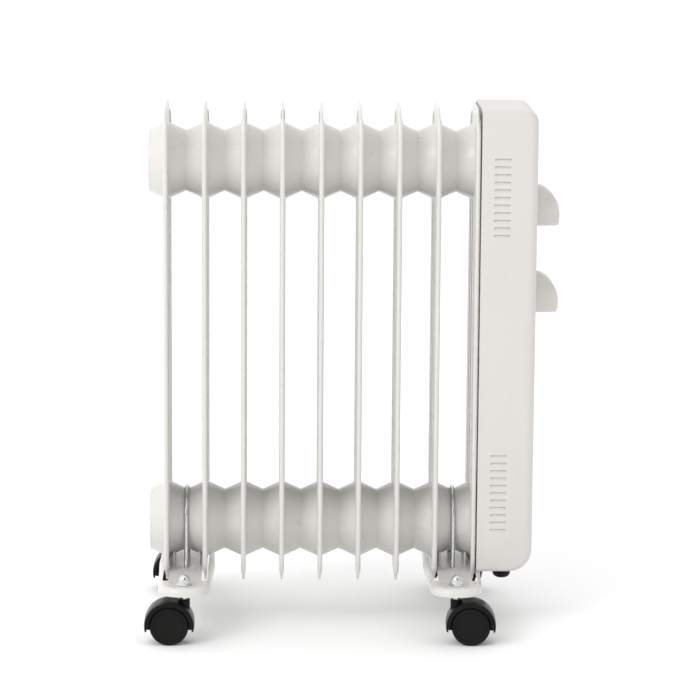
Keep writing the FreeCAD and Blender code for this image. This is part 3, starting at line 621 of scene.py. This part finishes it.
KNOB_RISE = 5.0 * MM
KNOB_FULLNESS = 4.2
KNOB_EDGE = 2.4 * MM
KNOB_TAPER = 0.6 * MM
KNOB_GRID = 22
KNOB_TURNS = 96
KNOB_EDGE_STEPS = 6
KNOB_BACK = 1.2 * MM
KNOB_FOOT = 0.3 * MM
KNOB_FOOT_RISE = 0.2 * MM


def knob_height(level, radius, reach):
    """Height of the knob's face above the panel: low at the top, full at the bottom."""
    fall = min(1.0, max(0.0, (radius - level) / (2 * radius)))
    return KNOB_RISE + (reach - KNOB_RISE) * (1 - (1 - fall) ** KNOB_FULLNESS)


def build_knob(node, body):
    """A round knob with a face that swells smoothly from its upper rim to its lower rim."""
    low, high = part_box(node)
    reach, radius = high.x - low.x, (high.z - low.z) / 2
    centre = (low + high) / 2
    shape = Shape()
    turns = [2 * math.pi * step / KNOB_TURNS for step in range(KNOB_TURNS)]

    def ring(share, inset, drop):
        rim = (radius - KNOB_TAPER * share) - inset
        points = []
        for turn in turns:
            across, level = rim * math.cos(turn), rim * math.sin(turn)
            full = knob_height(level, radius, reach) - KNOB_EDGE
            points.append((low.x + full * share + drop, centre.y + across, centre.z + level))
        return points

    rings = [ring(0.0, KNOB_BACK, 0.0), ring(0.0, KNOB_FOOT, KNOB_FOOT_RISE)]
    rings += [ring(share, 0.0, 0.0) for share in (0.12, 0.3, 0.55, 0.8, 1.0)]
    for step in range(1, KNOB_EDGE_STEPS + 1):
        angle = math.pi / 2 * step / KNOB_EDGE_STEPS
        rings.append(ring(1.0, KNOB_EDGE * (1 - math.cos(angle)), KNOB_EDGE * math.sin(angle)))
    rim = radius - KNOB_TAPER - KNOB_EDGE
    for step in range(1, KNOB_GRID):
        share = 1 - step / KNOB_GRID
        rings.append([(low.x + knob_height(rim * share * math.sin(turn), radius, reach),
                       centre.y + rim * share * math.cos(turn), centre.z + rim * share * math.sin(turn))
                      for turn in turns])
    indices = [shape.ring(points) for points in rings]
    for first, second in zip(indices, indices[1:]):
        shape.bridge(first, second)
    for rim, place in ((indices[0], low.x), (indices[-1], low.x + knob_height(0, radius, reach))):
        shape.fan(shape.ring([(place, centre.y, centre.z)])[0], rim)
    shape.piece("moulded_" + node, "white_plastic", body, [node])


MARK_RISE = 0.06 * MM
MARK_LONG = 4.5 * MM
MARK_SHORT = 2.6 * MM
MARK_WIDTH = 0.7 * MM
MARK_GAP = 4 * MM
MARK_GROUP = 5
DIALS = (("thermostat_knob", 21, 300), ("power_knob", 4, 135))


def add_mark(shape, x, y, z, angle, length):
    """One printed dash on the panel, lying along its angle."""
    along = Vector((0, math.cos(angle), math.sin(angle)))
    across = Vector((0, -math.sin(angle), math.cos(angle)))
    rings = []
    for out in (-MARK_RISE, MARK_RISE):
        rings.append([Vector((x + out, y, z)) + along * a * length / 2 + across * b * MARK_WIDTH / 2
                      for a, b in ((-1, -1), (1, -1), (1, 1), (-1, 1))])
    shape.tube(rings)


def build_panel_print():
    """Plain dial divisions round both knobs: no words and no signs."""
    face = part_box("control_panel")[1].x
    shape = Shape()
    for node, count, sweep in DIALS:
        centre = middle_of(node)
        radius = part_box(node)[1].z - centre.z
        for step in range(count):
            angle = math.radians(90 + sweep / 2 - sweep * step / (count - 1))
            length = MARK_LONG if step % MARK_GROUP == 0 or count < MARK_GROUP else MARK_SHORT
            reach = radius + MARK_GAP + length / 2
            add_mark(shape, face, centre.y + reach * math.cos(angle), centre.z + reach * math.sin(angle),
                     angle, length)
    shape.piece("panel_dial_marks", "panel_film", "radiator", finish="panel_print")


# ---- clamps -------------------------------------------------------------------------------

THREAD_PITCH = 1.0 * MM
THREAD_DEPTH = 0.28 * MM
THREAD_LENGTH = 22 * MM
PLAIN_LEG_SHARE = 0.6
BEND_LEAD = 2 * MM
BEND_STEPS = 32
DOME_RADIUS = 6.4 * MM
DOME_BASE = 3.4 * MM
DOME_STEPS = 12
STEM_RADIUS = 4 * MM


def build_u_bolts():
    """Bent wire over the lower header, with rolled threads on both legs."""
    for side in ("left", "right"):
        node = "u_bolt_" + side
        low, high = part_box(node)
        wire = (high.x - low.x) / 2
        reach = high.y - wire
        x, level = (low.x + high.x) / 2, high.z - wire - reach
        half = []
        steps = int(THREAD_LENGTH / THREAD_PITCH * 2)
        for step in range(steps + 1):
            cut = THREAD_DEPTH if step % 2 == 0 else 0.0
            half.append((low.z + THREAD_LENGTH * step / steps, wire - cut))
        half += [(low.z + (level - low.z) * PLAIN_LEG_SHARE, wire), (level - BEND_LEAD, wire)]
        path = [(x, -reach, z) for z, radius in half]
        radii = [radius for z, radius in half]
        for step in range(BEND_STEPS + 1):
            turn = math.pi * step / BEND_STEPS
            path.append((x, -reach * math.cos(turn), level + reach * math.sin(turn)))
            radii.append(wire)
        path += [(x, reach, z) for z, radius in reversed(half)]
        radii += [radius for z, radius in reversed(half)]
        shape = Shape()
        shape.sweep(path, radii, 24)
        shape.piece("bent_" + node, "chrome", "radiator", [node])


def build_dome_nuts():
    """Cap nuts on the caster stems: a round flange under a smooth dome."""
    low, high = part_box("acorn_nuts")
    height = high.z - low.z
    flange = (high.x - low.x - (middle_of("bracket_right").x - middle_of("bracket_left").x)) / 2
    shape = Shape()
    profile = [(0.0, 0.0), (0.0, STEM_RADIUS), (0.0, flange - 0.4 * MM), (0.35 * MM, flange),
               (1.1 * MM, flange), (1.8 * MM, flange - 0.9 * MM), (2.3 * MM, DOME_RADIUS + 0.3 * MM)]
    for step in range(DOME_STEPS):
        angle = math.pi / 2 * step / DOME_STEPS
        profile.append((DOME_BASE + (height - DOME_BASE) * math.sin(angle), DOME_RADIUS * math.cos(angle)))
    profile.append((height, 0.0))
    for x in (low.x + flange, high.x - flange):
        for y in (low.y + flange, high.y - flange):
            shape.lathe(profile, (x, y, low.z), (0, 0, 1), 48)
    shape.piece("plated_dome_nuts", "chrome", "radiator", ["acorn_nuts"])


# ---- casters ------------------------------------------------------------------------------

HOOD_HALF = 15.5 * MM
HOOD_RADIUS = 27.2 * MM
HOOD_INNER = 24.2 * MM
HOOD_LIP = 21.75 * MM
HOOD_LIP_DEPTH = 1.8 * MM
HOOD_LEG = 24.9 * MM
HOOD_CROWN = 0.5 * MM
HOOD_CROWN_BEND = 9 * MM
HOOD_CROWN_SHARE = 0.4
HOOD_EDGE = 1.1 * MM
HOOD_STEPS = 40
LIP_EDGE = 0.3 * MM
LIP_SLOPE = 0.05 * MM
LIP_END = math.radians(2)
LEG_START = math.radians(-4)
LEG_ROUND = 1.0 * MM
LEG_ROUND_SHARE = 0.75
WEB_HALF = 5.5 * MM
WEB_EDGE = 0.6 * MM
WEB_STEPS = 48
SOCKET_RADIUS = 6.3 * MM
SOCKET_EDGE = 0.9 * MM
SOCKET_FOOT = 1 * MM
SOCKET_MOUTH = 4.2 * MM
SOCKET_MOUTH_EDGE = 0.4 * MM
SOCKET_DEPTH = 3 * MM
WHEEL_GAP = 0.35 * MM
WHEEL_WIDTH = 9.2 * MM
TREAD_EDGE = 2.2 * MM
TREAD_HEIGHT = 2.6 * MM
HUB_RADIUS = 5.5 * MM
HUB_MOUTH = 5.3 * MM
BACK_DEPTH = 2.4 * MM
AXLE_BORE = 2.55 * MM
AXLE_END = 1.2 * MM


def caster_frames():
    """Each caster's own frame: its stem on Z and its axle ahead of it on X."""
    joints = {joint["name"]: joint for joint in frame["joints"]}
    for corner in ("left_front", "left_back", "right_front", "right_back"):
        stem = Vector(joints["swivel_" + corner]["pos_m"])
        axle = Vector(joints["inner_roll_" + corner]["pos_m"])
        ahead = axle - stem
        turn = Matrix.Rotation(math.atan2(ahead.y, ahead.x), 4, "Z")
        place = Matrix.Translation((stem.x, stem.y, 0)) @ turn
        yield corner, place, Vector((ahead.xy.length, 0, axle.z)), stem.z


def hood_section(lip, leg_cut):
    """The cover's section as (radius, across) points: a crowned band with a lip at each side."""
    outer, inner = HOOD_RADIUS - leg_cut, max(HOOD_INNER, lip) + leg_cut
    lip = min(lip + leg_cut, inner)
    wall = HOOD_HALF - HOOD_LIP_DEPTH
    crown = HOOD_HALF * HOOD_CROWN_SHARE
    return rounded([(outer - HOOD_CROWN, -HOOD_HALF, HOOD_EDGE), (outer, -crown, HOOD_CROWN_BEND),
                    (outer, crown, HOOD_CROWN_BEND), (outer - HOOD_CROWN, HOOD_HALF, HOOD_EDGE),
                    (lip, HOOD_HALF, LIP_EDGE), (lip, wall, 0), (inner, wall - LIP_SLOPE, 0),
                    (inner, LIP_SLOPE - wall, 0), (lip, -wall, 0), (lip, -HOOD_HALF, LIP_EDGE)],
                   closed=True, steps=4)


def hood_rings(axle, tip_level):
    """The section carried from one leg over the wheels to the other; the lip stops at the legs."""
    end = math.asin((tip_level - axle.z) / HOOD_RADIUS)
    angles = [end + (LEG_START - end) * step / 5 for step in range(6)]
    angles += [LEG_START + (LIP_END - LEG_START) * step / 6 for step in range(1, 7)]
    middle = [LIP_END + (math.pi - 2 * LIP_END) * step / HOOD_STEPS for step in range(1, HOOD_STEPS)]
    far = [math.pi - angle for angle in reversed(angles)]
    rings = []
    for angle in angles + middle + far:
        from_end = min(angle, math.pi - angle)
        share = min(1.0, max(0.0, (LIP_END - from_end) / (LIP_END - LEG_START)))
        lip = HOOD_LIP + (HOOD_LEG - HOOD_LIP) * (1 - math.sqrt(1 - share * share))
        ahead = max(0.0, from_end - end) * HOOD_RADIUS
        cut = 0.0
        if ahead < LEG_ROUND:
            cut = LEG_ROUND * (1 - math.sqrt(1 - (1 - ahead / LEG_ROUND) ** 2)) * LEG_ROUND_SHARE
        rings.append([(axle.x + radius * math.cos(angle), across, axle.z + radius * math.sin(angle))
                      for radius, across in hood_section(lip, cut)])
    return rings


def add_web(shape, axle, tip_level):
    """The plate between the two wheels that carries the axle."""
    radius = HOOD_INNER + WEB_EDGE
    start = math.asin((tip_level - axle.z) / radius)
    rings = []
    for across, inset in ((-WEB_HALF, WEB_EDGE), (-WEB_HALF + WEB_EDGE, 0), (WEB_HALF - WEB_EDGE, 0),
                          (WEB_HALF, WEB_EDGE)):
        ring = []
        for step in range(WEB_STEPS + 1):
            angle = start + (math.pi - 2 * start) * step / WEB_STEPS
            ring.append((axle.x + (radius - inset) * math.cos(angle), across,
                         axle.z + (radius - inset) * math.sin(angle)))
        rings.append(ring)
    shape.tube(rings)


def build_hoods():
    """Caster covers, each with its web and the socket that takes the stem."""
    for corner, place, axle, top in caster_frames():
        node = "caster_hood_" + corner
        tip_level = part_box(node)[0].z
        shape = Shape()
        shape.tube(hood_rings(axle, tip_level))
        add_web(shape, axle, tip_level)
        height = top - axle.z
        profile = rounded([(0, 0, 0), (0, SOCKET_RADIUS - SOCKET_FOOT, 0),
                           (2 * SOCKET_FOOT, SOCKET_RADIUS, SOCKET_FOOT),
                           (height, SOCKET_RADIUS, SOCKET_EDGE), (height, SOCKET_MOUTH, SOCKET_MOUTH_EDGE),
                           (height - SOCKET_DEPTH, SOCKET_MOUTH, 0), (height - SOCKET_DEPTH, 0, 0)])
        shape.lathe(profile, (0, 0, axle.z), (0, 0, 1), 48)
        shape.moved(place).piece("moulded_" + node, "black_plastic", "caster_" + corner, [node])


def wheel_profile(radius):
    """A soft-edged tread, a shallow disc with one turned groove, and a deep hub behind."""
    width = WHEEL_WIDTH
    tread = radius - TREAD_HEIGHT
    disc = [(width - 0.7 * MM, 0, 0), (width - 0.7 * MM, tread * 0.86, 0),
            (width - 1.05 * MM, tread * 0.875, 0.3 * MM), (width - 1.05 * MM, tread * 0.9, 0.3 * MM),
            (width - 0.6 * MM, tread * 0.92, 0.3 * MM), (width - 0.1 * MM, tread, 1 * MM)]
    rim = [(width - 0.1 * MM, tread + 0.5 * MM, 0.2 * MM), (width - 1.6 * MM, radius, TREAD_EDGE),
           (width / 2, radius, 0), (1.2 * MM, radius, 1.4 * MM), (0, tread + 1 * MM, 0.5 * MM)]
    back = [(0, tread - 0.6 * MM, 0.4 * MM), (width - BACK_DEPTH, tread - 1.6 * MM, 1 * MM),
            (width - BACK_DEPTH, HUB_RADIUS, 0.6 * MM), (0, HUB_MOUTH, 0.4 * MM)]
    bore = [(0, AXLE_BORE, 0.2 * MM), (width - AXLE_END, AXLE_BORE, 0), (width - AXLE_END, 0, 0)]
    return rounded(disc + rim + back + bore, steps=5)


def build_wheels():
    """Two wheels to a caster, one on each side of the web."""
    for corner, place, axle, top in caster_frames():
        for side, way in (("inner", 1), ("outer", -1)):
            node = "%s_wheel_%s" % (side, corner)
            shape = Shape()
            start = Vector((axle.x, way * (WEB_HALF + WHEEL_GAP), axle.z))
            shape.lathe(wheel_profile(axle.z), start, (0, way, 0))
            shape.moved(place).piece("moulded_" + node, "wheel_plastic",
                                     "%s_wheel_body_%s" % (side, corner), [node])


dress_frame()
build_fins()
build_end_caps()
build_housing()
build_knob("thermostat_knob", "thermostat_control")
build_knob("power_knob", "power_control")
build_panel_print()
build_u_bolts()
build_dome_nuts()
build_hoods()
build_wheels()
add_floor()
add_light()
add_camera()
